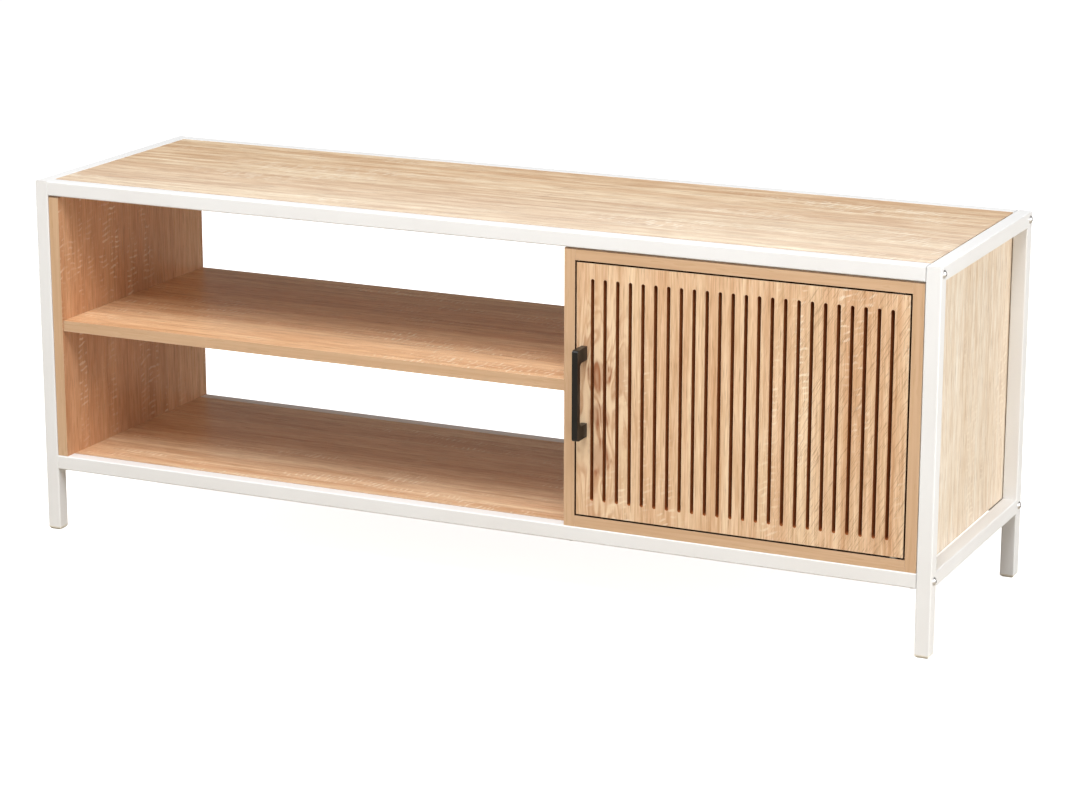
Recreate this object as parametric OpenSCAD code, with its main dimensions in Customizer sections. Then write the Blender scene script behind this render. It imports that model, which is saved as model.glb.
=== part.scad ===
// Low TV stand: two welded tube end frames, four bolted rails, wood boards, an open bay
// with a shelf on the left and a cabinet with one slotted door on the right.
// +Z is up, the front faces -Y, and the origin is at the floor under the outline's centre.

/* [Overall size] */
// Width over the legs
stand_w = 1300; // [1200:10:1500]
// Depth over the legs
stand_d = 380; // [360:10:450]
// Height from the floor to the top
stand_h = 500; // [480:5:560]

/* [Frame] */
// Side of the square frame tube
tube = 20; // [20:1:22]
// Wall of the frame tube
tube_wall = 1.2; // [1:0.1:1.4]
// Outer corner radius of the frame tube
tube_corner = 2; // [1.6:0.1:2.5]
// Height of the lower rails' underside above the floor
rail_z = 90; // [70:5:110]
// Height of the plastic glide under each leg
glide_h = 5; // [5:0.5:8]
// Seam between a long rail's end and the leg
rail_seam = 0.3; // [0.2:0.1:0.5]

/* [Boards] */
// Thickness of every wood board
board = 15; // [15:1:16]
// Gap round the top and bottom boards
board_gap = 0.6; // [0.4:0.1:1]
// Gap between the side panels and the end frames
side_gap = 0.8; // [0.5:0.1:1]
// How far the upright boards' edges lie behind the frame's faces
edge_inset = 1; // [0.5:0.1:1.5]
// Gap between the upright boards and the upper rails
top_gap = 1; // [0.5:0.1:2]
// Thickness of the cabinet's back panel
back_t = 3; // [3:0.5:4]

/* [Cabinet] */
// Clear width inside the cabinet
cabinet_w = 450; // [400:10:520]
// Gap round the door
door_gap = 2.5; // [2.4:0.1:3]
// Number of slots in the door
slot_count = 24; // [12:1:26]
// Width of a door slot
slot_w = 5; // [4:0.5:6]
// Distance from the door's upper or lower edge to the slots
slot_margin = 20; // [18:1:40]
// Distance from the door's side edge to the first slot's middle
slot_side = 22; // [22:1:30]

/* [Handle] */
// Overall length of the handle
handle_l = 120; // [100:5:160]
// Width of the handle, and the thickness of its grip
handle_w = 8; // [8:0.5:10]
// Reach of the handle from the door's face
handle_reach = 30; // [26:1:36]
// Distance from the door's free edge to the handle's middle
handle_inset = 11; // [10:0.5:12]
// Height of the handle's middle above the floor
handle_z = 293; // [250:1:330]

/* [Door pivots] */
// Distance from the door's hinged edge to the pivot
pivot_inset = 15; // [14:0.5:16]
// Pivot pin radius
pin_r = 3; // [2.5:0.25:3]

/* [Hidden] */
$fn = 32;

// Frame places
half_w = stand_w / 2;
half_d = stand_d / 2;
leg_x = half_w - tube / 2;
leg_y = half_d - tube / 2;
low_rail_z = rail_z + tube / 2;
top_rail_z = stand_h - tube / 2;
rail_l = stand_w - 2 * tube - 2 * rail_seam;
end_plate_t = 4;
// The handle stands out in front, so the frame's middle lies behind the outline's
mid_y = (handle_reach - edge_inset) / 2;

// Welded tabs under the top and bottom boards
tab_t = 2;
tab_w = 26;
tab_l = 20;
tab_y = half_d - tube - tab_l / 2;
tab_drop = tube / 2 - board;

// Upright and level boards
floor_z = rail_z + tube;
upright_h = stand_h - tube - top_gap - floor_z;
upright_d = stand_d - 2 * edge_inset;
inner_x = half_w - tube - side_gap - board;
divider_x = inner_x - cabinet_w - board / 2;
bay_x0 = -inner_x;
bay_x1 = divider_x - board / 2;
shelf_setback = 3;
shelf_z = (floor_z + stand_h - board) / 2;
cabinet_x0 = divider_x + board / 2;
cabinet_x1 = inner_x;
cabinet_z0 = floor_z + board;
cabinet_z1 = floor_z + upright_h - board;
back_setback = 3;
back_y = half_d - back_setback - back_t;
joint_gap = 0.2;
top_tabs = [-stand_w * 0.385, 0, stand_w * 0.385];
low_tabs = [-stand_w * 0.385, divider_x - stand_w * 0.275, divider_x - 45];

// Door places
door_w = cabinet_w - 2 * door_gap;
door_h = cabinet_z1 - cabinet_z0 - 2 * door_gap;
door_x0 = cabinet_x0 + door_gap;
door_x1 = cabinet_x1 - door_gap;
door_z0 = cabinet_z0 + door_gap;
door_z1 = cabinet_z1 - door_gap;
door_front = -half_d + edge_inset;
door_back = door_front + board;
pivot_x = door_x1 - pivot_inset;
pivot_y = door_front + board / 2;
bush_r = 5;
bush_l = 12;
pin_reach = 10;
pivot_plate = [40, 12, 2];
handle_x = door_x0 + handle_inset;
handle_post = 18;
handle_bolt = handle_l / 2 - handle_post / 2;
catch_x = door_x0 + 60;
catch_size = [46, 14, 14];
catch_gap = 0.3;
strike_t = 1;

// Fasteners
bolt_r = 3;
bolt_head_r = 5.5;
bolt_head_h = 3.3;
bolt_l = 25;
wood_screw_r = 2;
small_screw_r = 1.5;
fit = 0.05;
cam_r = 7.4;
cam_x = 34;
cam_deep = 11.5;
dowel_r = 4;
cam_y = 120;
dowel_y = 80;

// Where a level board meets an upright: the upright's face, the board's middle height,
// the side the board lies on, and the side its cams open to
board_ends = [
    [bay_x0, shelf_z, 1, -1],
    [bay_x1, shelf_z, -1, -1],
    [cabinet_x0, floor_z + board / 2, 1, -1],
    [cabinet_x1, floor_z + board / 2, -1, -1],
    [cabinet_x0, cabinet_z1 + board / 2, 1, 1],
    [cabinet_x1, cabinet_z1 + board / 2, -1, 1]];
back_screw_x = [for (share = [0.15, 0.5, 0.85]) cabinet_x0 + cabinet_w * share];

paint = [0.95, 0.94, 0.91];
oak = [0.88, 0.76, 0.6];
steel = [0.7, 0.7, 0.72];
black = [0.1, 0.1, 0.1];
plastic = [0.93, 0.93, 0.9];

// ---- shared shapes ----

module in_frame() {
    translate([0, mid_y, 0]) children();
}

module rounded_square(side, radius) {
    square([side - 2 * radius, side], center = true);
    square([side, side - 2 * radius], center = true);
    for (x = [-1, 1], y = [-1, 1])
        translate([x, y] * (side / 2 - radius)) circle(r = radius);
}

module tube_solid(length) {
    linear_extrude(length) rounded_square(tube, tube_corner);
}

module tube_hollow(length) {
    linear_extrude(length)
        rounded_square(tube - 2 * tube_wall, max(0.4, tube_corner - tube_wall));
}

module along_x(start) {
    translate([start, 0, 0]) rotate([0, 90, 0]) children();
}

module along_y(start) {
    translate([0, start, 0]) rotate([-90, 0, 0]) children();
}

// Stretches a profile drawn in depth and height along X, centred
module profile_x(length) {
    translate([-length / 2, 0, 0]) rotate([90, 0, 90]) linear_extrude(length) children();
}

module box(low, high) {
    translate(low) cube(high - low);
}

// Screw pointing up, with its head below z = 0 and a cross recess
module pan_screw(radius, length) {
    head_h = radius * 1.2;
    difference() {
        union() {
            cylinder(r = radius, h = length - radius);
            translate([0, 0, length - radius]) cylinder(r1 = radius, r2 = 0.3, h = radius);
            translate([0, 0, -head_h]) cylinder(r1 = radius * 1.6, r2 = radius * 2, h = head_h);
        }
        cross_recess(radius, head_h);
    }
}

module cross_recess(radius, head_h) {
    for (turn = [0, 90])
        translate([0, 0, -head_h]) rotate(turn)
            cube([radius * 2, radius * 0.45, head_h * 1.2], center = true);
}

// Countersunk screw pointing up, with its head's face at z = 0
module flat_screw(radius, length) {
    head_h = radius;
    difference() {
        union() {
            cylinder(r = radius, h = length - radius);
            translate([0, 0, length - radius]) cylinder(r1 = radius, r2 = 0.3, h = radius);
            cylinder(r1 = radius * 2, r2 = radius, h = head_h);
        }
        translate([0, 0, head_h * 0.4]) cross_recess(radius, head_h * 0.8);
    }
}

// ---- frame ----

// The part of an end frame's side below or above the mitre lines at its upper corners
module below_mitre(side) {
    outer = half_d + tube;
    inner = half_d - 2 * tube;
    profile_x(2 * tube)
        polygon([[side * inner, 0], [side * outer, 0],
            [side * outer, stand_h + tube], [side * inner, stand_h - 2 * tube]]);
}

module above_mitre() {
    outer = half_d + tube;
    inner = half_d - 2 * tube;
    profile_x(2 * tube)
        polygon([[-outer, stand_h + tube], [outer, stand_h + tube],
            [inner, stand_h - 2 * tube], [-inner, stand_h - 2 * tube]]);
}

module end_frame() {
    difference() {
        union() {
            for (side = [-1, 1]) intersection() {
                translate([0, side * leg_y, glide_h]) tube_solid(stand_h);
                below_mitre(side);
            }
            intersection() {
                translate([0, 0, top_rail_z]) along_y(-half_d) tube_solid(stand_d);
                above_mitre();
            }
            translate([0, 0, low_rail_z])
                along_y(-half_d + tube - tube_corner)
                    tube_solid(stand_d - 2 * tube + 2 * tube_corner);
        }
        for (side = [-1, 1]) intersection() {
            translate([0, side * leg_y, 0]) tube_hollow(stand_h + tube);
            below_mitre(side);
        }
        intersection() {
            translate([0, 0, top_rail_z]) along_y(-half_d - tube) tube_hollow(stand_d + 2 * tube);
            above_mitre();
        }
        translate([0, 0, low_rail_z]) along_y(-half_d + tube) tube_hollow(stand_d - 2 * tube);
        for (side = [-1, 1], z = [low_rail_z, top_rail_z])
            translate([0, side * leg_y, z]) along_x(-tube) cylinder(r = bolt_r + 0.3, h = 2 * tube);
    }
}

module left_end_frame() {
    color(paint) in_frame() translate([-leg_x, 0, 0]) end_frame();
}

module right_end_frame() {
    color(paint) in_frame() translate([leg_x, 0, 0]) end_frame();
}

// Long rail on the X axis, with tabs on the +Y side for the board beside it
module long_rail(tabs) {
    difference() {
        union() {
            along_x(-rail_l / 2) tube_solid(rail_l);
            for (x = tabs)
                box([x - tab_w / 2, tube / 2 - tube_wall / 2, tab_drop - tab_t],
                    [x + tab_w / 2, tube / 2 + tab_l, tab_drop]);
        }
        along_x(-rail_l / 2 + end_plate_t) tube_hollow(rail_l - 2 * end_plate_t);
        along_x(-rail_l / 2 - 1) cylinder(r = bolt_r + fit, h = end_plate_t + 2);
        along_x(rail_l / 2 - end_plate_t - 1) cylinder(r = bolt_r + fit, h = end_plate_t + 2);
        for (x = tabs)
            translate([x, tube / 2 + tab_l / 2, tab_drop - tab_t - 1])
                cylinder(r = wood_screw_r + 0.2, h = tab_t + 2);
    }
}

// Upper and lower rails alike; the lower ones are drilled for the upright boards' screws
module placed_rail(z, side) {
    color(paint) in_frame() difference() {
        translate([0, side * leg_y, z]) mirror([0, side > 0 ? 1 : 0, 0])
            long_rail(z == low_rail_z ? low_tabs : top_tabs);
        if (z == low_rail_z) upright_screw_places()
            translate([0, 0, -1]) cylinder(r = wood_screw_r + 0.2, h = tube + 2);
    }
}

module front_top_rail() {
    placed_rail(top_rail_z, -1);
}

module rear_top_rail() {
    placed_rail(top_rail_z, 1);
}

module front_bottom_rail() {
    placed_rail(low_rail_z, -1);
}

module rear_bottom_rail() {
    placed_rail(low_rail_z, 1);
}

// Button-head screw pointing along -X from x = 0, with a hexagon socket
module frame_screw() {
    dome_r = (pow(bolt_head_r, 2) + pow(bolt_head_h, 2)) / (2 * bolt_head_h);
    rotate([0, 90, 0]) difference() {
        union() {
            intersection() {
                translate([0, 0, bolt_head_h - dome_r]) sphere(r = dome_r);
                cylinder(r = bolt_head_r, h = bolt_head_h);
            }
            translate([0, 0, -bolt_l]) cylinder(r = bolt_r, h = bolt_l);
        }
        translate([0, 0, bolt_head_h - 2]) cylinder(r = 2.3, h = 3, $fn = 6);
    }
}

module frame_screws() {
    color(steel) in_frame() for (end = [-1, 1], side = [-1, 1], z = [low_rail_z, top_rail_z])
        translate([end * half_w, side * leg_y, z]) mirror([end < 0 ? 1 : 0, 0, 0]) frame_screw();
}

module glide(end, side) {
    taper = 3;
    straight = 1.5;
    color(plastic) in_frame() translate([end * leg_x, side * leg_y, 0]) {
        intersection() {
            tube_solid(glide_h);
            profile_x(2 * tube) glide_outline(straight, taper);
            rotate(90) profile_x(2 * tube) glide_outline(straight, taper);
        }
        difference() {
            translate([0, 0, glide_h - 0.5])
                linear_extrude(15) rounded_square(tube - 2 * tube_wall - 0.4, 1);
            translate([0, 0, glide_h + 1])
                linear_extrude(15) rounded_square(tube - 2 * tube_wall - 4, 0.8);
        }
    }
}

module glide_outline(straight, taper) {
    side = tube / 2 + 1;
    foot = tube / 2 - taper;
    slope_top = glide_h - straight;
    polygon([[-foot, 0], [foot, 0], [tube / 2, slope_top], [side, slope_top],
        [side, glide_h + 1], [-side, glide_h + 1], [-side, slope_top], [-tube / 2, slope_top]]);
}

module front_left_glide() {
    glide(-1, -1);
}

module front_right_glide() {
    glide(1, -1);
}

module rear_left_glide() {
    glide(-1, 1);
}

module rear_right_glide() {
    glide(1, 1);
}

// ---- boards ----

// Board that lies in the frame between the rails, from x0 to x1, drilled for its tab screws
module frame_board(x0, x1, top, tabs) {
    y = half_d - tube - board_gap;
    color(oak) in_frame() difference() {
        box([x0, -y, top - board], [x1, y, top]);
        tab_screw_places(top, tabs) translate([0, 0, -1]) cylinder(r = wood_screw_r + fit, h = 12);
    }
}

module top_board() {
    frame_board(board_gap + tube - half_w, half_w - tube - board_gap, stand_h, top_tabs);
}

// Floor of the open bay: it ends under the divider, and the cabinet has a floor of its own
module bottom_board() {
    frame_board(board_gap + tube - half_w, cabinet_x0, floor_z, low_tabs);
}

module tab_screw_places(top, tabs) {
    for (x = tabs, side = [-1, 1]) translate([x, side * tab_y, top - board]) children();
}

module upright_screw_places() {
    for (x = [-inner_x - board / 2, divider_x, inner_x + board / 2], side = [-1, 1])
        translate([x, side * leg_y, rail_z]) children();
}

// Puts its children at each board end, with local +X into the level board
module at_board_ends(y_places) {
    for (end = board_ends, y = y_places)
        translate([end[0], y, end[1]]) mirror([end[2] < 0 ? 1 : 0, 0, 0])
            mirror([0, 0, end[3] > 0 ? 1 : 0]) children();
}

module joint_holes() {
    at_board_ends([-cam_y, cam_y]) {
        along_x(-11) cylinder(r = 2.5 + fit, h = 12);
        along_x(-0.1) cylinder(r = 3.6, h = cam_x);
        translate([cam_x, 0, -board / 2 - 1]) cylinder(r = cam_r + 0.1, h = cam_deep + 1);
    }
    at_board_ends([-dowel_y, dowel_y])
        along_x(-10.5) cylinder(r = dowel_r + fit, h = 29.5);
}

module upright(x0) {
    color(oak) in_frame() difference() {
        box([x0, -upright_d / 2, floor_z], [x0 + board, upright_d / 2, floor_z + upright_h]);
        joint_holes();
        upright_screw_places() cylinder(r = wood_screw_r + fit, h = tube + 26);
    }
}

module left_side_panel() {
    upright(-inner_x - board);
}

module right_side_panel() {
    upright(inner_x);
}

module divider_panel() {
    upright(divider_x - board / 2);
}

module middle_shelf() {
    color(oak) in_frame() difference() {
        box([bay_x0 + joint_gap, -half_d + shelf_setback, shelf_z - board / 2],
            [bay_x1 - joint_gap, upright_d / 2, shelf_z + board / 2]);
        joint_holes();
    }
}

module cabinet_board(z0) {
    box([cabinet_x0 + joint_gap, door_front, z0],
        [cabinet_x1 - joint_gap, back_y, z0 + board]);
}

module back_screw_places() {
    for (x = back_screw_x, z = [floor_z + board / 2, cabinet_z1 + board / 2])
        translate([x, back_y + back_t, z]) rotate([90, 0, 0]) children();
}

module cabinet_floor() {
    color(oak) in_frame() difference() {
        cabinet_board(floor_z);
        joint_holes();
        pivot_recess(cabinet_z0, 0);
        back_screw_places() cylinder(r = small_screw_r + fit, h = 17);
    }
}

module cabinet_roof() {
    color(oak) in_frame() difference() {
        cabinet_board(cabinet_z1);
        joint_holes();
        pivot_recess(cabinet_z1, 1);
        back_screw_places() cylinder(r = small_screw_r + fit, h = 17);
        catch_screw_places() cylinder(r = small_screw_r + fit, h = 14);
    }
}

module cabinet_back() {
    color(oak) in_frame() difference() {
        box([cabinet_x0 + joint_gap, back_y, floor_z + joint_gap],
            [cabinet_x1 - joint_gap, back_y + back_t, floor_z + upright_h - joint_gap]);
        back_screw_places() translate([0, 0, -1]) cylinder(r = small_screw_r + 0.2, h = back_t + 2);
    }
}

module back_panel_screws() {
    color(steel) in_frame() back_screw_places() pan_screw(small_screw_r, 16);
}

// ---- door ----

module slot_cut() {
    half_l = door_h / 2 - slot_margin - slot_w / 2;
    rotate([90, 0, 0]) linear_extrude(board + 2, center = true) {
        square([slot_w, 2 * half_l], center = true);
        for (end = [-1, 1]) translate([0, end * half_l]) circle(d = slot_w);
    }
}

module door_panel() {
    slot_pitch = (door_w - 2 * slot_side) / (slot_count - 1);
    color(oak) in_frame() difference() {
        box([door_x0, door_front, door_z0], [door_x1, door_back, door_z1]);
        for (i = [0 : slot_count - 1])
            translate([door_x0 + slot_side + i * slot_pitch, pivot_y, (door_z0 + door_z1) / 2])
                slot_cut();
        translate([pivot_x, pivot_y, door_z0 - 1]) cylinder(r = bush_r + fit, h = bush_l + 1);
        translate([pivot_x, pivot_y, door_z1 - bush_l]) cylinder(r = bush_r + fit, h = bush_l + 1);
        handle_screw_places() translate([0, 0, -1]) cylinder(r = 2.3, h = board + 2);
        strike_screw_place() screw_sink(12);
    }
}

// Bow handle: straight grip on two posts, round at the outer corners and inside
module door_handle() {
    outer_r = 4;
    inner_r = 6;
    color(black) in_frame() difference() {
        translate([handle_x, door_front, handle_z]) rotate([0, 0, 180])
            profile_x(handle_w) handle_outline(outer_r, inner_r);
        handle_screw_places() cylinder(r = 2 + fit, h = board + 14);
    }
}

module handle_outline(outer_r, inner_r) {
    half_l = handle_l / 2;
    window = half_l - handle_post;
    depth = handle_reach - handle_w;
    difference() {
        union() {
            translate([0, -half_l]) square([handle_reach - outer_r, handle_l]);
            translate([0, -half_l + outer_r]) square([handle_reach, handle_l - 2 * outer_r]);
            for (end = [-1, 1])
                translate([handle_reach - outer_r, end * (half_l - outer_r)]) circle(r = outer_r);
        }
        translate([-1, -window]) square([depth - inner_r + 1, 2 * window]);
        translate([-1, -window + inner_r]) square([depth + 1, 2 * (window - inner_r)]);
        for (end = [-1, 1])
            translate([depth - inner_r, end * (window - inner_r)]) circle(r = inner_r);
    }
}

module handle_screw_places() {
    for (end = [-1, 1])
        translate([handle_x, door_back, handle_z + end * handle_bolt]) rotate([90, 0, 0]) children();
}

module handle_screws() {
    color(steel) in_frame() handle_screw_places() pan_screw(2, board + 12);
}

// Plate with an upright pin, let into the cabinet floor; mirrored for the roof
module pivot_part(z, up) {
    color(steel) in_frame() translate([pivot_x, pivot_y, z]) mirror([0, 0, up]) {
        difference() {
            translate([-pivot_plate[0] * 0.72, -pivot_plate[1] / 2, -pivot_plate[2]])
                cube(pivot_plate);
            for (x = [-13, -23]) translate([x, 0, -pivot_plate[2] - 1]) {
                cylinder(r = small_screw_r + 0.2, h = 4);
                translate([0, 0, 1.5]) cylinder(r1 = small_screw_r, r2 = 3.1, h = 1.51);
            }
        }
        translate([0, 0, -0.5]) cylinder(r = pin_r, h = door_gap + pin_reach - 0.5);
        translate([0, 0, door_gap + pin_reach - 1]) cylinder(r1 = pin_r, r2 = pin_r - 1, h = 1);
    }
}

module pivot_recess(z, up) {
    play = 0.2;
    translate([pivot_x, pivot_y, z]) mirror([0, 0, up]) {
        translate([-pivot_plate[0] * 0.72 - play, -pivot_plate[1] / 2 - play, -pivot_plate[2]])
            cube(pivot_plate + [2 * play, 2 * play, 1]);
        for (x = [-13, -23]) translate([x, 0, -12]) cylinder(r = small_screw_r + fit, h = 12);
    }
}

module lower_pivot() {
    pivot_part(cabinet_z0, 0);
}

module upper_pivot() {
    pivot_part(cabinet_z1, 1);
}

module pivot_screws() {
    color(steel) in_frame() for (place = [[cabinet_z0, 0], [cabinet_z1, 1]])
        translate([pivot_x, pivot_y, place[0]]) mirror([0, 0, place[1]])
            for (x = [-13, -23]) translate([x, 0, 0]) rotate([180, 0, 0]) flat_screw(small_screw_r, 11);
}

module pivot_washer() {
    color(plastic) in_frame() translate([pivot_x, pivot_y, cabinet_z0]) difference() {
        cylinder(r = bush_r + 0.5, h = door_gap - 0.3);
        translate([0, 0, -1]) cylinder(r = pin_r + 0.1, h = door_gap + 2);
    }
}

module pivot_bush(z) {
    color(plastic) in_frame() translate([pivot_x, pivot_y, z]) difference() {
        cylinder(r = bush_r, h = bush_l);
        translate([0, 0, -1]) cylinder(r = pin_r + fit, h = bush_l + 2);
    }
}

module lower_pivot_bush() {
    pivot_bush(door_z0);
}

module upper_pivot_bush() {
    pivot_bush(door_z1 - bush_l);
}

// ---- catch ----

catch_front = door_back + strike_t + catch_gap;

module catch_screw_places() {
    for (side = [-1, 1])
        translate([catch_x + side * catch_size[0] * 0.36, catch_front + catch_size[1] / 2,
            cabinet_z1 - 3]) children();
}

module catch_body() {
    color(plastic) in_frame() difference() {
        union() {
            translate([catch_x - catch_size[0] / 2, catch_front + 1, cabinet_z1 - 3])
                cube([catch_size[0], catch_size[1] - 1, 3]);
            translate([catch_x - 12, catch_front + 1, cabinet_z1 - catch_size[2]])
                cube([24, catch_size[1] - 1, catch_size[2]]);
        }
        translate([catch_x - 10, catch_front, cabinet_z1 - catch_size[2] + 2])
            cube([20, 8, 8]);
        catch_screw_places() translate([0, 0, -1]) cylinder(r = small_screw_r + 0.2, h = 5);
    }
}

module catch_magnet() {
    color(black) in_frame() translate([catch_x - 9.8, catch_front, cabinet_z1 - catch_size[2] + 2.2])
        cube([19.6, 7.8, 7.6]);
}

module catch_screws() {
    color(steel) in_frame() catch_screw_places() pan_screw(small_screw_r, 13);
}

module strike_screw_place() {
    translate([catch_x, door_back + strike_t, cabinet_z1 - catch_size[2] / 2 - 1])
        rotate([90, 0, 0]) children();
}

// Countersunk hole for the strike plate's screw, from the plate's face inwards
module screw_sink(deep) {
    cylinder(r = small_screw_r + 0.2, h = deep);
    translate([0, 0, -0.1]) cylinder(r1 = 2 * small_screw_r + 0.3, r2 = small_screw_r + 0.2, h = 1.7);
}

module strike_plate() {
    color(steel) in_frame() difference() {
        translate([catch_x - 15, door_back, door_z1 - 13]) cube([30, strike_t, 12]);
        strike_screw_place() screw_sink(4);
    }
}

module strike_screw() {
    color(steel) in_frame() strike_screw_place() flat_screw(small_screw_r, 11);
}

// ---- hidden fasteners ----

module tab_screws() {
    color(steel) in_frame() for (place = [[floor_z, low_tabs], [stand_h, top_tabs]])
        tab_screw_places(place[0], place[1])
            translate([0, 0, -tab_t]) pan_screw(wood_screw_r, tab_t + 10);
}

module panel_screws() {
    color(steel) in_frame() upright_screw_places() pan_screw(wood_screw_r, tube + 24);
}

module cam_locks() {
    color(steel) in_frame() at_board_ends([-cam_y, cam_y]) translate([cam_x, 0, 0]) difference() {
        translate([0, 0, -board / 2 + 0.3]) cylinder(r = cam_r, h = cam_deep - 0.5);
        translate([-8, -3.6, -3.6]) cube([6.5, 7.2, 9]);
        for (turn = [0, 90]) rotate(turn) translate([0, 0, -board / 2]) cube([8, 1.4, 3], center = true);
    }
}

module cam_bolts() {
    color(steel) in_frame() at_board_ends([-cam_y, cam_y]) {
        along_x(-10.5) cylinder(r = 2.5, h = 38.5);
        along_x(27.5) cylinder(r = 3.3, h = 3.5);
    }
}

module wood_dowels() {
    color(oak) in_frame() at_board_ends([-dowel_y, dowel_y])
        along_x(-10) cylinder(r = dowel_r, h = 28);
}

left_end_frame();
right_end_frame();
front_top_rail();
rear_top_rail();
front_bottom_rail();
rear_bottom_rail();
frame_screws();
front_left_glide();
front_right_glide();
rear_left_glide();
rear_right_glide();
top_board();
bottom_board();
left_side_panel();
right_side_panel();
divider_panel();
middle_shelf();
cabinet_floor();
cabinet_roof();
cabinet_back();
door_panel();
door_handle();
handle_screws();
upper_pivot_bush();
lower_pivot_bush();
upper_pivot();
lower_pivot();
pivot_washer();
pivot_screws();
catch_body();
catch_magnet();
catch_screws();
strike_plate();
strike_screw();
tab_screws();
panel_screws();
cam_locks();
cam_bolts();
wood_dowels();
back_panel_screws();
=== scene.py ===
"""Looks for a low TV stand: a white square-tube frame, oak foil boards and one slotted door."""
import math
import bpy
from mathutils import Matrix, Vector


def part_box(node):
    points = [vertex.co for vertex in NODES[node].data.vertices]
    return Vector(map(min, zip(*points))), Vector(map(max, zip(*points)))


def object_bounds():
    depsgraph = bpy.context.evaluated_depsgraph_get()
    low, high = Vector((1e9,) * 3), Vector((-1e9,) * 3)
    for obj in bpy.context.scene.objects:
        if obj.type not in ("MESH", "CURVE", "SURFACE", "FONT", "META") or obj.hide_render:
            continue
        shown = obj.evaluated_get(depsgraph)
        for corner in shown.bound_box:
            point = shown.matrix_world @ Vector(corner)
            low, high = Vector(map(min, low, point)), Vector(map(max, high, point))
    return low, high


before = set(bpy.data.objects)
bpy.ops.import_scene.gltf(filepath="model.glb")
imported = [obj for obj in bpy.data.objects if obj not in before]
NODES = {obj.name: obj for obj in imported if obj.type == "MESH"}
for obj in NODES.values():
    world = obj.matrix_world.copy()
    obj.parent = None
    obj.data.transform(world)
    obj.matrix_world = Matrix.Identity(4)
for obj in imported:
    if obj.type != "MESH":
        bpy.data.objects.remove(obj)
CAD_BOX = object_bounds()

# The camera's view of the stand, in degrees and metres; lens and sensor in millimetres
VIEW_AZIMUTH = 25.172
VIEW_ELEVATION = 14.917
VIEW_DISTANCE = 4.3466
VIEW_AIM = Vector((0.017, 0.013, 0.218))
LENS = 107.9
SENSOR = 36.0

# Studio levels
FLOOR_SIZE = 80.0
FLOOR_GLOW = 0.85
BACKDROP = 1.2
FLOOR_BOUNCE = (184, 175, 160)
AMBIENT = 0.16
AMBIENT_TINT = (1.0, 0.93, 0.84, 1)
SHEEN = 0.22
SHEEN_TINT = (1, 0.94, 0.86, 1)

# Widths of the planks that each foil shows, and of the boards' rounded edges, in metres
UPRIGHT_PLANK = 0.105
LEVEL_PLANK = 0.13
BACK_PLANK = 0.16
DOOR_PLANK = 0.6
BOARD_EDGE = 0.0005

# How far the saw marks lean (a slope), and how coarse the print is
LEAN = -0.1
TOP_LEAN = -0.4
DOOR_LEAN = -0.35
TOP_COARSE = 1.9


def rgb(red, green, blue):
    """A colour as the screen shows it, 0 to 255, as the linear value that shaders use."""
    def linear(level):
        level /= 255
        return level / 12.92 if level <= 0.04045 else ((level + 0.055) / 1.055) ** 2.4
    return linear(red), linear(green), linear(blue), 1.0


# ---- short ways to build a material ----

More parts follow.
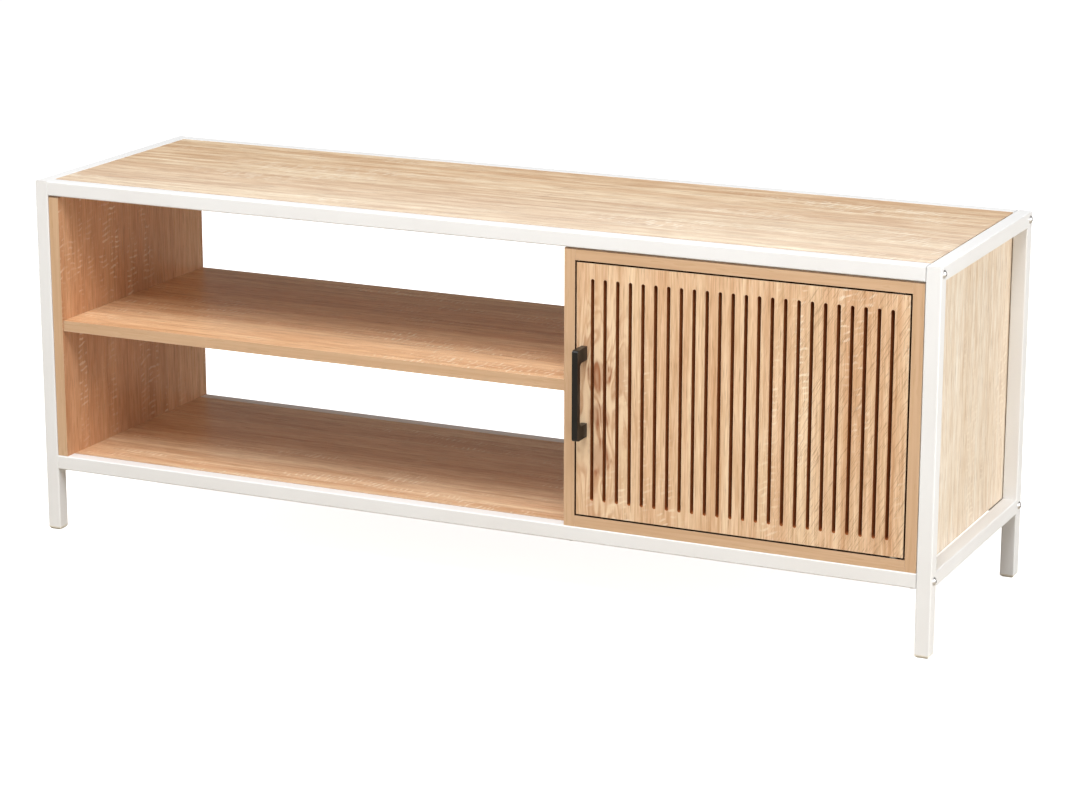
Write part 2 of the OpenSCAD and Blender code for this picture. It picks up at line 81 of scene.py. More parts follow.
class Look:
    """A material, and short ways to add nodes to it."""

    def __init__(self, name):
        self.material = bpy.data.materials.new(name)
        self.material.use_nodes = True
        self.tree = self.material.node_tree
        self.shader = self.tree.nodes["Principled BSDF"]
        coords = self.add("ShaderNodeTexCoord")
        self.place = coords.outputs["Object"]
        self.facing = coords.outputs["Normal"]

    def plug(self, socket, value):
        """Links another node's output to the socket, or sets its value."""
        if isinstance(value, bpy.types.NodeSocket):
            self.tree.links.new(value, socket)
        else:
            socket.default_value = value

    def add(self, kind, inputs=None, **settings):
        """A new node with its inputs plugged and its settings set."""
        node = self.tree.nodes.new(kind)
        for key, value in settings.items():
            setattr(node, key, value)
        for key, value in (inputs or {}).items():
            self.plug(node.inputs[key], value)
        return node

    def put(self, **sockets):
        """Sets the surface shader's sockets; an underscore in a name stands for a space."""
        for name, value in sockets.items():
            self.plug(self.shader.inputs[name.replace("_", " ")], value)

    def maths(self, operation, a, b=0.0):
        return self.add("ShaderNodeMath", {0: a, 1: b}, operation=operation).outputs[0]

    def vector(self, x, y, z):
        return self.add("ShaderNodeCombineXYZ", {0: x, 1: y, 2: z}).outputs[0]

    def split(self, vector):
        """A vector's parts, by the names X, Y and Z."""
        parts = self.add("ShaderNodeSeparateXYZ", {0: vector})
        return dict(zip("XYZ", parts.outputs))

    def stretch(self, vector, scales, shift=(0, 0, 0)):
        mapping = self.add("ShaderNodeMapping", {"Vector": vector, "Scale": scales, "Location": shift})
        return mapping.outputs[0]

    def noise(self, vector, scales, shift=0.0, detail=2.0, roughness=0.5, warp=0.0):
        """Noise from 0 to 1; scales are its blotches per metre along X, Y and Z."""
        place = self.stretch(vector, scales, (shift, shift * 1.7, shift * 0.6))
        inputs = {"Vector": place, "Scale": 1.0, "Detail": detail, "Roughness": roughness,
                  "Distortion": warp}
        return self.add("ShaderNodeTexNoise", inputs).outputs[0]

    def ease(self, value, low, high, to_low=0.0, to_high=1.0):
        """The value eased from to_low at low to to_high at high, and held outside them."""
        inputs = {"Value": value, "From Min": low, "From Max": high,
                  "To Min": to_low, "To Max": to_high}
        return self.add("ShaderNodeMapRange", inputs, interpolation_type="SMOOTHSTEP").outputs[0]

    def blend(self, share, a, b, mode="MIX"):
        """Colour a mixed with colour b by share."""
        mixer = self.add("ShaderNodeMix", data_type="RGBA", blend_type=mode)
        for socket, value in ((mixer.inputs[0], share), (mixer.inputs[6], a), (mixer.inputs[7], b)):
            self.plug(socket, value)
        return mixer.outputs[2]

    def cover(self, mask, share, color, other):
        """The colour with the other laid over it by share, where the mask is 1."""
        return self.blend(self.maths("MULTIPLY", mask, share), color, other)

    def bump(self, height, depth, strength=1.0):
        """Bump whose height of 1 is depth metres."""
        node = self.add("ShaderNodeBump", {"Height": height, "Strength": strength, "Distance": depth})
        self.put(Normal=node.outputs[0])

    def edge(self, radius):
        """1 on sharp edges, falling to 0 about radius metres away."""
        rounded = self.add("ShaderNodeBevel", {"Radius": radius}, samples=6).outputs[0]
        true_normal = self.add("ShaderNodeNewGeometry").outputs["Normal"]
        alike = self.add("ShaderNodeVectorMath", {0: rounded, 1: true_normal},
                         operation="DOT_PRODUCT")
        flat, sharp = 0.995, 0.8
        return self.ease(alike.outputs["Value"], flat, sharp)


# ---- oak foil ----

# Each print's pale wood, darker streaks and warmer streaks
TOP_OAK = (rgb(240, 216, 182), rgb(203, 160, 118), rgb(222, 184, 145))
# Painted sheen: the right side panel's print is paler and greyer, standing in for the glare on it
PAINTED_SHEEN_OAK = (rgb(244, 232, 214), rgb(228, 207, 181), rgb(236, 216, 191))
OAK = (rgb(238, 209, 174), rgb(206, 160, 119), rgb(222, 179, 141))
# Painted shade: the left side panel's print is darker and redder, standing in for the shade inside the
# open bay
PAINTED_SHADE_OAK = (rgb(217, 171, 132), rgb(198, 147, 109), rgb(210, 157, 119))
SHELF_OAK = (rgb(243, 205, 164), rgb(208, 156, 110), rgb(226, 175, 131))
DOOR_OAK = (rgb(240, 211, 176), rgb(210, 165, 125), rgb(226, 184, 147))
PORE = rgb(140, 92, 58)
FLECK = rgb(252, 238, 216)
# Painted sheen: the grey added to the top board towards its front
PAINTED_SHEEN_GREY = rgb(110, 128, 133)
BAND = rgb(208, 172, 137)
CORE = rgb(177, 111, 64)
# Painted shade: the dark brown of the shadowed gap round the door, also painted along the joints under
# the rails and on the door's edges
PAINTED_GAP_SHADE = rgb(66, 31, 10)
SWIRL = rgb(190, 134, 94)
VEIN = rgb(176, 118, 78)
KNOT = rgb(158, 92, 56)


def grain_parts(look, along, across):
    """Coordinates with X along the grain, Y across it and Z through the board."""
    parts = look.split(look.place)
    through = ({"X", "Y", "Z"} - {along, across}).pop()
    return {"X": parts[along], "Y": parts[across], "Z": parts[through]}


def tone(look, level):
    """A multiplier for a wood colour: warmer where it darkens, cooler where it lightens."""
    red = look.maths("POWER", level, 0.65)
    blue = look.maths("POWER", level, 1.4)
    return look.add("ShaderNodeCombineColor", {0: red, 1: level, 2: blue}).outputs[0]


def toned(look, color, pattern, span, levels):
    """The colour darkened and lightened by a pattern, whose span of values gives the levels."""
    return look.blend(1.0, color, tone(look, look.ease(pattern, *span, *levels)), "MULTIPLY")


class Grain:
    """Coordinates of one board's print: planks side by side, each with its own length of grain."""

    def __init__(self, look, along, across, seed, plank):
        self.look = look
        self.seed = seed
        self.parts = grain_parts(look, along, across)
        seam_width = 0.0011
        row = look.maths("ADD", look.maths("DIVIDE", self.parts["Y"], plank), seed * 0.37)
        index = look.maths("FLOOR", row)
        chance = look.add("ShaderNodeTexWhiteNoise", {"W": index}, noise_dimensions="1D")
        self.chance = chance.outputs["Value"]
        slide = look.maths("MULTIPLY", self.chance, 7.0)
        slid = look.maths("ADD", self.parts["X"], slide)
        self.flat = look.vector(slid, self.parts["Y"], self.parts["Z"])
        near_seam = look.maths("PINGPONG", row, 0.5)
        self.seam = look.ease(near_seam, 0.0, seam_width / plank, 1.0, 0.0)

    def noise(self, along, across, through, step, **settings):
        """Noise on this board, different for each step."""
        return self.look.noise(self.flat, (along, across, through), self.seed + step, **settings)

    def leaning(self, lean):
        """The same coordinates sheared, so that what runs along or across the grain leans."""
        across = self.look.maths("MULTIPLY", self.parts["Y"], lean)
        along = self.look.maths("ADD", self.parts["X"], across)
        return self.look.vector(along, self.parts["Y"], self.parts["Z"])


def oak_color(look, grain, tones, lean=LEAN, coarse=1.0):
    """Printed oak: streaks of every width, growth lines, dashes, pores and pale saw marks.

    Gives its colour, its roughness and the height for its bump.
    """
    stroke = 0.012 * coarse ** 1.5
    cream, tan, pink = tones
    streaks = grain.noise(1.7 * coarse, 62.0, 20.0, 3, detail=4.0, roughness=0.72)
    broad = grain.noise(0.6, 9.0, 5.0, 6, detail=2.0)
    warm = look.ease(grain.noise(1.1, 46.0, 14.0, 8, detail=3.0, roughness=0.65), 0.42, 0.66)
    dashes = grain.noise(24.0 / coarse, 210.0 / coarse, 60.0, 12, detail=2.0, roughness=0.6)
    fine = grain.noise(14.0, 420.0 / coarse, 150.0, 5, detail=2.0, roughness=0.7)
    field = grain.noise(0.8, 8.0, 3.0, 0, detail=1.5, warp=0.2)
    rings = look.ease(look.maths("PINGPONG", look.maths("MULTIPLY", field, 26.0), 1.0), 0.05, 0.95)
    mixed = look.maths("ADD", look.maths("MULTIPLY", streaks, 0.8),
                       look.maths("MULTIPLY", broad, 0.2))
    color = look.blend(look.ease(mixed, 0.36, 0.66), cream, tan)
    color = look.cover(warm, 0.5, color, pink)
    color = look.cover(rings, 0.14, color, tan)
    color = toned(look, color, dashes, (0.3, 0.7), (0.91 - 0.07 * (coarse - 1), 1.08))
    color = toned(look, color, fine, (0.3, 0.7), (0.84, 1.13))
    color = toned(look, color, grain.chance, (0.0, 1.0), (0.95, 1.03))

    pores = look.ease(grain.noise(32.0, 1000.0 / coarse, 500.0, 11, detail=1.0), 0.6, 0.68)
    color = look.cover(pores, 0.4, color, PORE)
    marks = saw_marks(look, grain, lean, stroke)
    color = look.cover(marks, 0.4 + 0.25 * coarse, color, FLECK)
    color = look.cover(grain.seam, 0.35, color, PORE)
    height = look.maths("SUBTRACT", look.maths("MULTIPLY", fine, 0.4), pores)
    rough = look.ease(fine, 0.2, 0.8, 0.36, 0.25)
    return color, rough, height


def saw_marks(look, grain, lean, stroke):
    """Ladders of pale strokes across the grain, as a band saw leaves them.

    The strokes are about stroke metres long and step metres apart.
    """
    step = 0.0085
    wobble = look.maths("MULTIPLY", grain.noise(26.0, 0.4 / stroke, 10.0, 14, detail=2.0), 13.0)
    along = look.split(grain.leaning(lean))["X"]
    phase = look.maths("ADD", look.maths("MULTIPLY", along, math.tau / step), wobble)
    strokes = look.ease(look.maths("SINE", phase), 0.1, 0.9)
    broken = look.ease(grain.noise(80.0, 1.1 / stroke, 20.0, 15, detail=2.0), 0.44, 0.6)
    ladders = look.ease(grain.noise(4.0, 0.4 / stroke, 6.0, 17, detail=1.0), 0.46, 0.64)
    patches = look.ease(grain.noise(2.4, 6.0, 3.0, 19), 0.42, 0.6)
    strokes = look.maths("MULTIPLY", strokes, broken)
    return look.maths("MULTIPLY", strokes, look.maths("MULTIPLY", ladders, patches))


def edge_band(look, color, seed, along):
    """Smoother, plainer banding on the board's narrow faces that look to the front or the rear."""
    front = look.split(look.facing)["Y"]
    front = look.ease(look.maths("ABSOLUTE", front), 0.7, 0.9)
    scales = {"X": (5.0, 150.0, 240.0), "Z": (240.0, 150.0, 5.0)}[along]
    streak = look.noise(look.place, scales, seed + 21, detail=3.0, roughness=0.6)
    band = toned(look, BAND, streak, (0.25, 0.75), (0.9, 1.08))
    return look.blend(front, color, band)


def finish_wood(look, color, rough, height, raw=0.0):
    """Foil finish: worn, paler edges, a soft sheen and grain that can be felt; raw has no sheen: the
    door's raw core and, on the boards, the painted shade round the door.
    """
    color = look.cover(look.edge(0.0012), 0.12, color, FLECK)
    look.put(Base_Color=color, Roughness=rough)
    look.put(Specular_IOR_Level=look.ease(raw, 0.0, 1.0, 0.5, 0.06) if raw else 0.5)
    look.bump(height, 0.00012, 0.6)
    return look.material


def board_oak(node, along, across, seed, plank, tones, paler=0.0):
    """A board's foil; paler is how strongly a painted sheen pales its print towards the front edge."""
    look = Look("oak_" + node)
    lean, coarse = (TOP_LEAN, TOP_COARSE) if paler else (LEAN, 1.0)
    grain = Grain(look, along, across, seed, plank)
    color, rough, height = oak_color(look, grain, tones, lean, coarse)
    # Painted sheen: the top board made paler and greyer towards its front
    if paler:
        color = painted_front_sheen(look, color, paler)
    color = edge_band(look, color, seed, along)
    # Painted shadow: a thin dark line along the tops of the uprights and the roof, under the frame's
    # rails
    if node == "cabinet_roof" or along == "Z":
        color = look.blend(painted_joint_shadow(look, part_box(node)[1]), color, PAINTED_GAP_SHADE)
    # Painted shade: the rim of the opening darkened where the gap round the closed door is in shadow;
    # it also loses its sheen
    shade = painted_gap_shade_mask(look)
    color = look.blend(shade, color, PAINTED_GAP_SHADE)
    return finish_wood(look, color, rough, height, shade)


def painted_front_sheen(look, color, share):
    """Painted sheen: the colour made paler and greyer towards the stand's front, a little sooner at
    the right.
    """
    slope = 0.1
    parts = look.split(look.place)
    slant = look.maths("SUBTRACT", parts["Y"], look.maths("MULTIPLY", parts["X"], slope))
    toward_front = look.ease(slant, CAD_BOX[1].y, CAD_BOX[0].y)
    return look.blend(look.maths("MULTIPLY", toward_front, share), color, PAINTED_SHEEN_GREY, "ADD")


def painted_joint_shadow(look, high):
    """Near 1 in a painted shadow along the top of a board that stands under the frame: a thin dark
    line where the rail shades the joint.
    """
    line = 0.0008
    top = look.ease(look.split(look.place)["Z"], high.z - 2 * line, high.z - line, 0.0, 0.85)
    upward = look.split(look.facing)["Z"]
    return look.maths("MULTIPLY", top, look.ease(upward, 0.3, 0.6, 1.0, 0.0))


def painted_gap_shade_mask(look):
    """1 on the rim of the cabinet's opening round the closed door, where painted shade stands in for
    the gap's shadow.
    """
    low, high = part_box("door_panel")
    skin, gap, depth = 0.0004, 0.004, 0.008
    parts = look.split(look.place)
    shade = look.ease(parts["Y"], low.y + skin, low.y + 2 * skin)
    inward = look.ease(parts["Y"], low.y + depth, low.y + 1.5 * depth, 1.0, 0.0)
    shade = look.maths("MULTIPLY", shade, inward)
    for axis, start, end in (("X", low.x - gap, high.x + gap), ("Z", low.z - gap, high.z + gap)):
        shade = look.maths("MULTIPLY", shade, look.ease(parts[axis], start - skin, start))
        shade = look.maths("MULTIPLY", shade, look.ease(parts[axis], end, end + skin, 1.0, 0.0))
    return shade


def door_oak(name, seed):
    """Oak of the slotted door: wild figure by the handle, leaning pores, raw board in the slots and
    painted shade on its edges.
    """
    low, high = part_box("door_panel")
    look = Look(name)
    grain = Grain(look, "Z", "X", seed, DOOR_PLANK)
    color, rough, height = oak_color(look, grain, DOOR_OAK, DOOR_LEAN)
    color = leaning_pores(look, grain, color, low.x, high.x)
    color = wild_figure(look, grain, color)
    core = core_mask(look, low, high)
    color = look.blend(core, color, raw_board(look, low, high))
    rough = look.maths("MAXIMUM", rough, core)
    return finish_wood(look, color, rough, height, core)


def leaning_pores(look, grain, color, left, right):
    """Long thin pores that lean to the right, towards the hinged side."""
    slope = 0.55
    lean = look.maths("MULTIPLY", grain.parts["X"], slope)
    sheared = look.maths("SUBTRACT", grain.parts["Y"], lean)
    place = look.vector(grain.parts["X"], sheared, grain.parts["Z"])
    lines = look.noise(place, (55.0, 800.0, 200.0), grain.seed + 31, detail=1.5)
    lines = look.ease(lines, 0.56, 0.66)
    middle = left + 0.5 * (right - left)
    side = look.ease(grain.parts["Y"], middle, right - 0.1)
    return look.cover(look.maths("MULTIPLY", lines, side), 0.4, color, PORE)


def wild_figure(look, grain, color):
    """Swirling growth lines, darker veins and small knots down the door's handle side."""
    half_length, half_width = 0.2, 0.05
    beside_grip = 0.018
    knot_half_width = 0.019
    # Each knot's height from the middle of the handle, and its half length
    knots = ((0.022, 0.024), (-0.03, 0.02), (-0.085, 0.03))
    grip_low, grip_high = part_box("door_handle")
    middle = (grip_low.z + grip_high.z) / 2
    x = grip_high.x + beside_grip
    reach = nearness(look, grain, middle - 0.03, x, half_length, half_width)
    field = look.noise(grain.flat, (8.0, 36.0, 10.0), grain.seed + 40, detail=2.0, warp=0.8)
    rings = look.ease(look.maths("PINGPONG", look.maths("MULTIPLY", field, 15.0), 1.0), 0.25, 0.95)
    veins = look.ease(field, 0.52, 0.66)
    swirl = look.cover(rings, 0.7, DOOR_OAK[0], SWIRL)
    swirl = look.cover(veins, 0.6, swirl, VEIN)
    color = look.cover(reach, 0.9, color, swirl)
    figured = look.ease(rings, 0.0, 1.0, 0.4, 0.8)
    for height, size in knots:
        knot = nearness(look, grain, middle + height, x, size, knot_half_width)
        color = look.cover(look.ease(knot, 0.1, 0.8), figured, color, KNOT)
    return color


def nearness(look, grain, along, across, half_length, half_width):
    """1 at a point of the board, easing to 0 at a ragged oval round it."""
    ragged = 2.2
    dx = look.maths("DIVIDE", look.maths("SUBTRACT", grain.parts["X"], along), half_length)
    dy = look.maths("DIVIDE", look.maths("SUBTRACT", grain.parts["Y"], across), half_width)
    far = look.maths("ADD", look.maths("MULTIPLY", dx, dx), look.maths("MULTIPLY", dy, dy))
    wobble = look.noise(grain.flat, (45.0, 110.0, 10.0), grain.seed + 50, detail=3.0)
    wobble = look.maths("MULTIPLY", look.maths("SUBTRACT", wobble, 0.5), ragged)
    return look.ease(look.maths("ADD", far, wobble), 0.0, 1.2, 1.0, 0.0)


def core_mask(look, low, high):
    """1 inside the door's thickness, which shows in the slots and on the door's edges."""
    depth = look.split(look.place)["Y"]
    skin = 0.0009
    front = look.ease(depth, low.y + skin, low.y + 1.5 * skin)
    rear = look.ease(depth, high.y - 1.5 * skin, high.y - skin, 1.0, 0.0)
    return look.maths("MULTIPLY", front, rear)


def raw_board(look, low, high):
    """Fibreboard as the cutter left it, with painted shade round the door's edges, darker than in its
    slots.
    """
    rim = 0.004
    parts = look.split(look.place)
    fibre = look.noise(look.place, (500.0, 500.0, 160.0), 2.0, detail=3.0)
    inside = 1.0
    for axis, start, end in (("X", low.x, high.x), ("Z", low.z, high.z)):
        from_start = look.ease(parts[axis], start + rim, start + 2 * rim)
        inside = look.maths("MULTIPLY", inside, from_start)
        from_end = look.ease(parts[axis], end - 2 * rim, end - rim, 1.0, 0.0)
        inside = look.maths("MULTIPLY", inside, from_end)
    # Painted shade: the door's raw edges darkened for the shadow in the gap round it
    color = look.blend(inside, PAINTED_GAP_SHADE, CORE)
    return toned(look, color, fibre, (0.25, 0.75), (0.8, 1.2))


def beech(name):
    """Unfinished dowel wood, with streaks along the dowel."""
    look = Look(name)
    streak = look.noise(look.place, (40.0, 500.0, 500.0), 4.0, detail=3.0)
    color = look.blend(look.ease(streak, 0.3, 0.7), rgb(214, 176, 130), rgb(190, 146, 100))
    look.put(Base_Color=color, Roughness=look.ease(streak, 0.2, 0.8, 0.75, 0.6))
    look.bump(streak, 0.0001, 0.5)
    return look.material


# ---- paint, metal and plastic ----

def powder_coat(name, color, shade, grain, gloss, worn_and_highlight_color, wear_and_highlight):
    """Powder coat: orange peel, faint mottling, and paler edges, partly worn thin and partly a painted
    highlight.
    """
    look = Look(name)
    peel = look.noise(look.place, (grain, grain, grain), 1.0, detail=2.0, roughness=0.6)
    mottle = look.noise(look.place, (7.0, 7.0, 7.0), 6.0, detail=3.0)
    base = look.blend(look.ease(mottle, 0.3, 0.7), color, shade)
    # Paler edges: wear where the coat is thin, and a painted edge highlight
    base = look.cover(look.edge(0.0009), wear_and_highlight, base, worn_and_highlight_color)
    look.put(Base_Color=base, Roughness=look.ease(peel, 0.2, 0.8, gloss + 0.08, gloss - 0.06))
    look.bump(peel, 0.00006, 0.5)
    return look.material


def plated(name, color, dark, roughness):
    """Plated steel: fine drawn lines, and dull, darker spots."""
    look = Look(name)
    lines = look.noise(look.place, (900.0, 900.0, 60.0), 3.0, detail=2.0)
    spots = look.noise(look.place, (160.0, 160.0, 160.0), 9.0, detail=3.0)
    base = look.blend(look.ease(spots, 0.45, 0.75), color, dark)
    look.put(Base_Color=base, Metallic=1.0)
    dull = look.maths("ADD", lines, spots)
    look.put(Roughness=look.ease(dull, 0.7, 1.3, roughness - 0.08, roughness + 0.12))
    look.bump(lines, 0.00003, 0.5)
    return look.material


def moulded(name, color, shade, roughness):
    """Moulded plastic: fine spark texture and faint flow marks."""
    look = Look(name)
    spark = look.noise(look.place, (1100.0, 1100.0, 1100.0), 2.0, detail=1.0)
    flow = look.noise(look.place, (60.0, 60.0, 120.0), 5.0, detail=3.0)
    base = look.blend(look.ease(flow, 0.3, 0.7), color, shade)
    base = look.cover(look.edge(0.0006), 0.3, base, rgb(250, 250, 248))
    look.put(Base_Color=base, Roughness=look.ease(spark, 0.2, 0.8, roughness + 0.08, roughness - 0.05))
    look.bump(spark, 0.00003, 0.5)
    return look.material


def ferrite(name):
    """Pressed magnet powder: near black, with grey specks."""
    look = Look(name)
    speck = look.noise(look.place, (900.0, 900.0, 900.0), 7.0, detail=2.0)
    color = look.blend(look.ease(speck, 0.35, 0.7), rgb(38, 37, 37), rgb(66, 64, 62))
    look.put(Base_Color=color, Roughness=look.ease(speck, 0.3, 0.7, 0.75, 0.55))
    look.bump(speck, 0.00005, 0.5)
    return look.material


# ---- materials on the frame's nodes ----

def soften(piece, width, segments=2):
    """Joins the imported faces, rounds the edges by width and smooths the shading."""
    weld = piece.modifiers.new("weld", "WELD")
    weld.merge_threshold = 0.00001
    if width:
        bevel = piece.modifiers.new("bevel", "BEVEL")
        bevel.width = width
        bevel.segments = segments
        bevel.limit_method = "ANGLE"
        bevel.angle_limit = math.radians(40)
    shade = piece.modifiers.new("shade", "NODES")
    shade.node_group = smooth_shading()
    weighted = piece.modifiers.new("weighted", "WEIGHTED_NORMAL")
    weighted.keep_sharp = True


def smooth_shading():
    """A modifier group that shades faces smooth and keeps edges over 50 degrees sharp."""
    found = bpy.data.node_groups.get("smooth_shading")
    if found:
        return found
    group = bpy.data.node_groups.new("smooth_shading", "GeometryNodeTree")
    group.interface.new_socket("Geometry", in_out="INPUT", socket_type="NodeSocketGeometry")
    group.interface.new_socket("Geometry", in_out="OUTPUT", socket_type="NodeSocketGeometry")
    start = group.nodes.new("NodeGroupInput")
    end = group.nodes.new("NodeGroupOutput")
    bare = group.nodes.new("GeometryNodeRemoveAttribute")
    bare.inputs["Name"].default_value = "custom_normal"
    faces = group.nodes.new("GeometryNodeSetShadeSmooth")
    edges = group.nodes.new("GeometryNodeSetShadeSmooth")
    edges.domain = "EDGE"
    angle = group.nodes.new("GeometryNodeInputMeshEdgeAngle")
    sharp = group.nodes.new("FunctionNodeCompare")
    sharp.operation = "GREATER_THAN"
    sharp.inputs[1].default_value = math.radians(50)
    links = group.links
    links.new(start.outputs[0], bare.inputs[0])
    links.new(bare.outputs[0], faces.inputs[0])
    links.new(faces.outputs[0], edges.inputs[0])
    links.new(angle.outputs[0], sharp.inputs[0])
    links.new(sharp.outputs[0], edges.inputs["Selection"])
    edges.inputs["Shade Smooth"].default_value = False
    links.new(edges.outputs[0], end.inputs[0])
    return group


def dress(names, material, width=0.0, segments=2):
    """Gives CAD nodes a material and softened edges."""
    for name in names:
        piece = NODES[name]
        for slot in piece.material_slots:
            slot.material = material
        soften(piece, width, segments)


def dress_boards():
    """Oak foil on every board, each with its own seed, so that no two prints are the same."""
    upright = {"left_side_panel": (3, PAINTED_SHADE_OAK), "right_side_panel": (11, PAINTED_SHEEN_OAK),
               "divider_panel": (23, OAK)}
    level = {"top_board": (5, TOP_OAK), "bottom_board": (17, OAK), "middle_shelf": (29, SHELF_OAK),
             "cabinet_floor": (37, OAK), "cabinet_roof": (41, OAK)}
    for name, (seed, tones) in upright.items():
        dress([name], board_oak(name, "Z", "Y", seed, UPRIGHT_PLANK, tones), BOARD_EDGE)
    for name, (seed, tones) in level.items():
        paler = 1.0 if name == "top_board" else 0.0
        dress([name], board_oak(name, "X", "Y", seed, LEVEL_PLANK, tones, paler), BOARD_EDGE)
    dress(["door_panel"], door_oak("oak_door_panel", 43), 0.0006)
    dress(["cabinet_back"], back_oak("oak_cabinet_back", 47), 0.0003)


def back_oak(name, seed):
    """The cabinet back's foil, which has no banded edges."""
    look = Look(name)
    grain = Grain(look, "Z", "X", seed, BACK_PLANK)
    color, rough, height = oak_color(look, grain, OAK)
    return finish_wood(look, color, rough, height)


def dress_frame():
    """White paint on the tubes, and off-white plastic on the glides under them."""
    white = powder_coat("white_powder_coat", rgb(238, 239, 240), rgb(235, 235, 235), 900.0, 0.42,
                        rgb(250, 249, 246), 0.5)
    tubes = ["left_end_frame", "right_end_frame", "front_top_rail", "rear_top_rail",
             "front_bottom_rail", "rear_bottom_rail"]
    dress(tubes, white, 0.0)
    glides = ["front_left_glide", "front_right_glide", "rear_left_glide", "rear_right_glide"]
    dress(glides, moulded("glide_plastic", rgb(236, 232, 223), rgb(229, 225, 215), 0.5), 0.0004)


def dress_fittings():
    """The handle, and the hardware that is mostly out of sight."""
    black = powder_coat("black_powder_coat", rgb(7, 6, 5), rgb(11, 9, 8), 1300.0, 0.33,
                        rgb(34, 31, 29), 0.3)
    dress(["door_handle"], black, 0.0014, 4)
    zinc = plated("zinc_plate", rgb(196, 197, 200), rgb(150, 150, 152), 0.32)
    dress(["frame_screws"], plated("bright_zinc", rgb(232, 232, 233), rgb(205, 205, 207), 0.3))
    dress(["handle_screws", "pivot_screws", "catch_screws", "strike_screw",
           "tab_screws", "panel_screws", "cam_bolts", "back_panel_screws"], zinc)
    dress(["upper_pivot", "lower_pivot", "strike_plate"],
          plated("nickel_plate", rgb(190, 186, 180), rgb(150, 146, 140), 0.25), 0.0002)
    dress(["cam_locks"], plated("die_cast_zinc", rgb(168, 168, 170), rgb(130, 130, 132), 0.45), 0.0002)
    nylon = moulded("natural_nylon", rgb(228, 224, 212), rgb(219, 214, 200), 0.42)
    dress(["upper_pivot_bush", "lower_pivot_bush", "pivot_washer"], nylon, 0.0002)
    dress(["catch_body"],
          moulded("catch_plastic", rgb(236, 235, 231), rgb(228, 227, 222), 0.45), 0.0003)
    dress(["catch_magnet"], ferrite("ferrite"), 0.0002)
    dress(["wood_dowels"], beech("beech_dowel"), 0.0003)


# ---- studio ----

def seen_or_lit(tree, seen, lit):
    """A shader that shows as seen to the camera and as lit to everything that it lights."""
    path = tree.nodes.new("ShaderNodeLightPath")
    mixer = tree.nodes.new("ShaderNodeMixShader")
    tree.links.new(path.outputs["Is Camera Ray"], mixer.inputs[0])
    tree.links.new(lit.outputs[0], mixer.inputs[1])
    tree.links.new(seen.outputs[0], mixer.inputs[2])
    return mixer.outputs[0]


def floor():
    """White studio floor: self-lit where it is seen, so that shadows stay faint."""
    bpy.ops.mesh.primitive_plane_add(size=FLOOR_SIZE, location=(0, 0, 0))
    ground = bpy.context.object
    ground.name = "studio_floor"
    look = Look("studio_floor")
    look.put(Base_Color=rgb(250, 250, 250), Roughness=0.9, Specular_IOR_Level=0.0)
    look.put(Emission_Color=(1, 1, 1, 1), Emission_Strength=FLOOR_GLOW)
    matt = look.add("ShaderNodeBsdfDiffuse", {"Color": rgb(*FLOOR_BOUNCE)})
    surface = seen_or_lit(look.tree, look.shader, matt)
    look.tree.links.new(surface, look.tree.nodes["Material Output"].inputs["Surface"])
    ground.data.materials.append(look.material)


def surroundings():
    """The background shows white, is reflected more softly and lights the stand least."""
    world = bpy.data.worlds.new("studio")
    bpy.context.scene.world = world
    world.use_nodes = True
    tree = world.node_tree
    seen = tree.nodes["Background"]
    reflected = tree.nodes.new("ShaderNodeBackground")
    lit = tree.nodes.new("ShaderNodeBackground")
    for sky, color, strength in ((seen, (1, 1, 1, 1), BACKDROP), (reflected, SHEEN_TINT, SHEEN),
                                 (lit, AMBIENT_TINT, AMBIENT)):
        sky.inputs["Color"].default_value = color
        sky.inputs["Strength"].default_value = strength
    path = tree.nodes.new("ShaderNodeLightPath")
    gloss = tree.nodes.new("ShaderNodeMixShader")
    tree.links.new(path.outputs["Is Glossy Ray"], gloss.inputs[0])
    tree.links.new(lit.outputs[0], gloss.inputs[1])
    tree.links.new(reflected.outputs[0], gloss.inputs[2])
    tree.links.new(seen_or_lit(tree, seen, gloss), tree.nodes["World Output"].inputs[0])


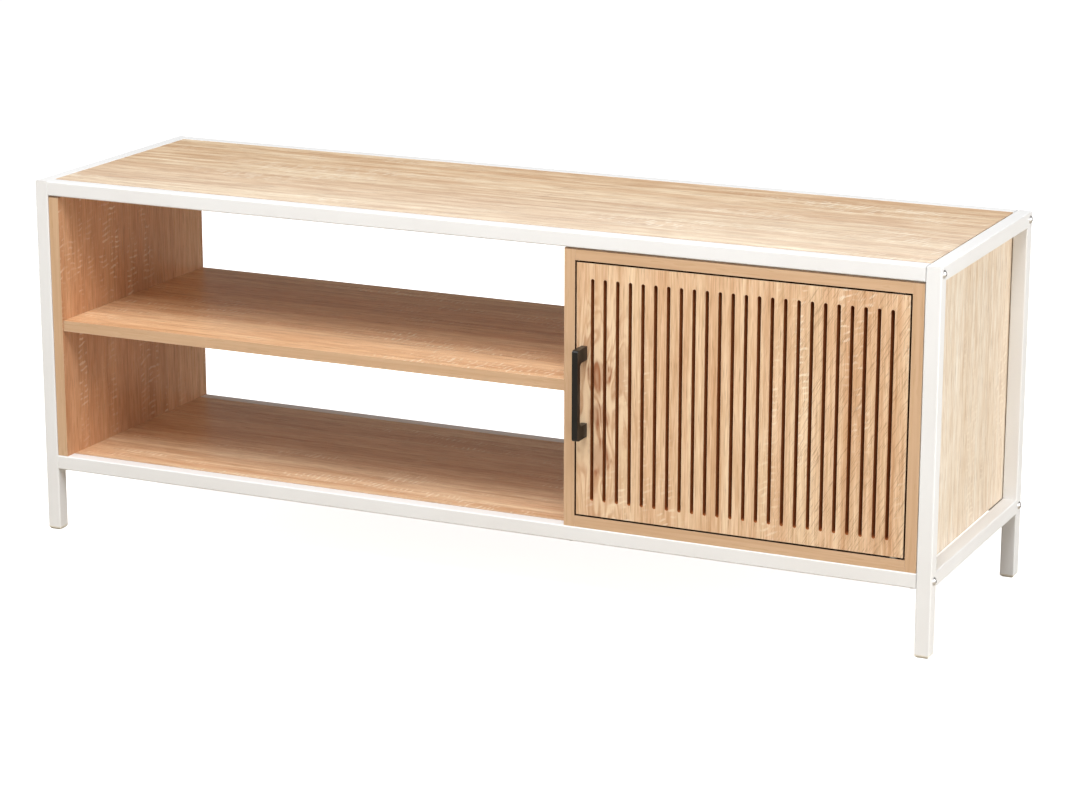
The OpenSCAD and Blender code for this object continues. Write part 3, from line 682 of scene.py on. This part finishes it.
def soft_light(name, place, aim, width, height, power, mirrored=True):
    """A soft box at a place, turned to its aim; mirrored is whether glossy faces show it."""
    data = bpy.data.lights.new(name, "AREA")
    data.shape = "RECTANGLE"
    data.size = width
    data.size_y = height
    data.energy = power
    lamp = bpy.data.objects.new(name, data)
    bpy.context.scene.collection.objects.link(lamp)
    lamp.location = place
    lamp.rotation_euler = (Vector(aim) - Vector(place)).to_track_quat("-Z", "Y").to_euler()
    lamp.visible_camera = False
    lamp.visible_glossy = mirrored


def lights():
    """Soft boxes above and round the stand, with the strongest above its front."""
    soft_light("overhead", (0.0, -1.8, 2.95), (0, 0, 0.3), 2.6, 1.6, 72)
    soft_light("overhead_right", (0.9, -1.5, 2.9), (0.1, 0, 0.3), 1.6, 1.4, 44)
    soft_light("overhead_left", (-1.8, -0.6, 2.4), (0, 0, 0.4), 1.8, 1.8, 14)
    soft_light("front_left", (-2.6, -3.2, 1.6), (0, 0, 0.3), 2.0, 1.6, 9)
    soft_light("right_side", (3.2, 0.0, 0.95), (0.4, 0, 0.3), 2.0, 1.2, 48)
    soft_light("low_right", (2.6, -1.6, 0.35), (0.4, 0, 0.2), 1.2, 0.6, 8)
    soft_light("left_side", (-3.2, 0.3, 0.8), (-0.4, 0, 0.3), 2.0, 1.2, 30)
    soft_light("behind", (0.2, 3.4, 0.7), (0, 0, 0.3), 2.8, 1.0, 28, mirrored=False)


def camera():
    """The camera at the photo's angle."""
    data = bpy.data.cameras.new("camera")
    data.lens = LENS
    data.sensor_width = SENSOR
    data.sensor_fit = "HORIZONTAL"
    data.clip_end = 200.0
    azimuth, elevation = math.radians(VIEW_AZIMUTH), math.radians(VIEW_ELEVATION)
    level = math.cos(elevation)
    toward = Vector((math.sin(azimuth) * level, -math.cos(azimuth) * level, math.sin(elevation)))
    eye = bpy.data.objects.new("camera", data)
    bpy.context.scene.collection.objects.link(eye)
    eye.location = VIEW_AIM + VIEW_DISTANCE * toward
    eye.rotation_euler = (-toward).to_track_quat("-Z", "Y").to_euler()
    bpy.context.scene.camera = eye


dress_boards()
dress_frame()
dress_fittings()
floor()
surroundings()
lights()
camera()
bpy.context.scene.view_settings.view_transform = "Standard"
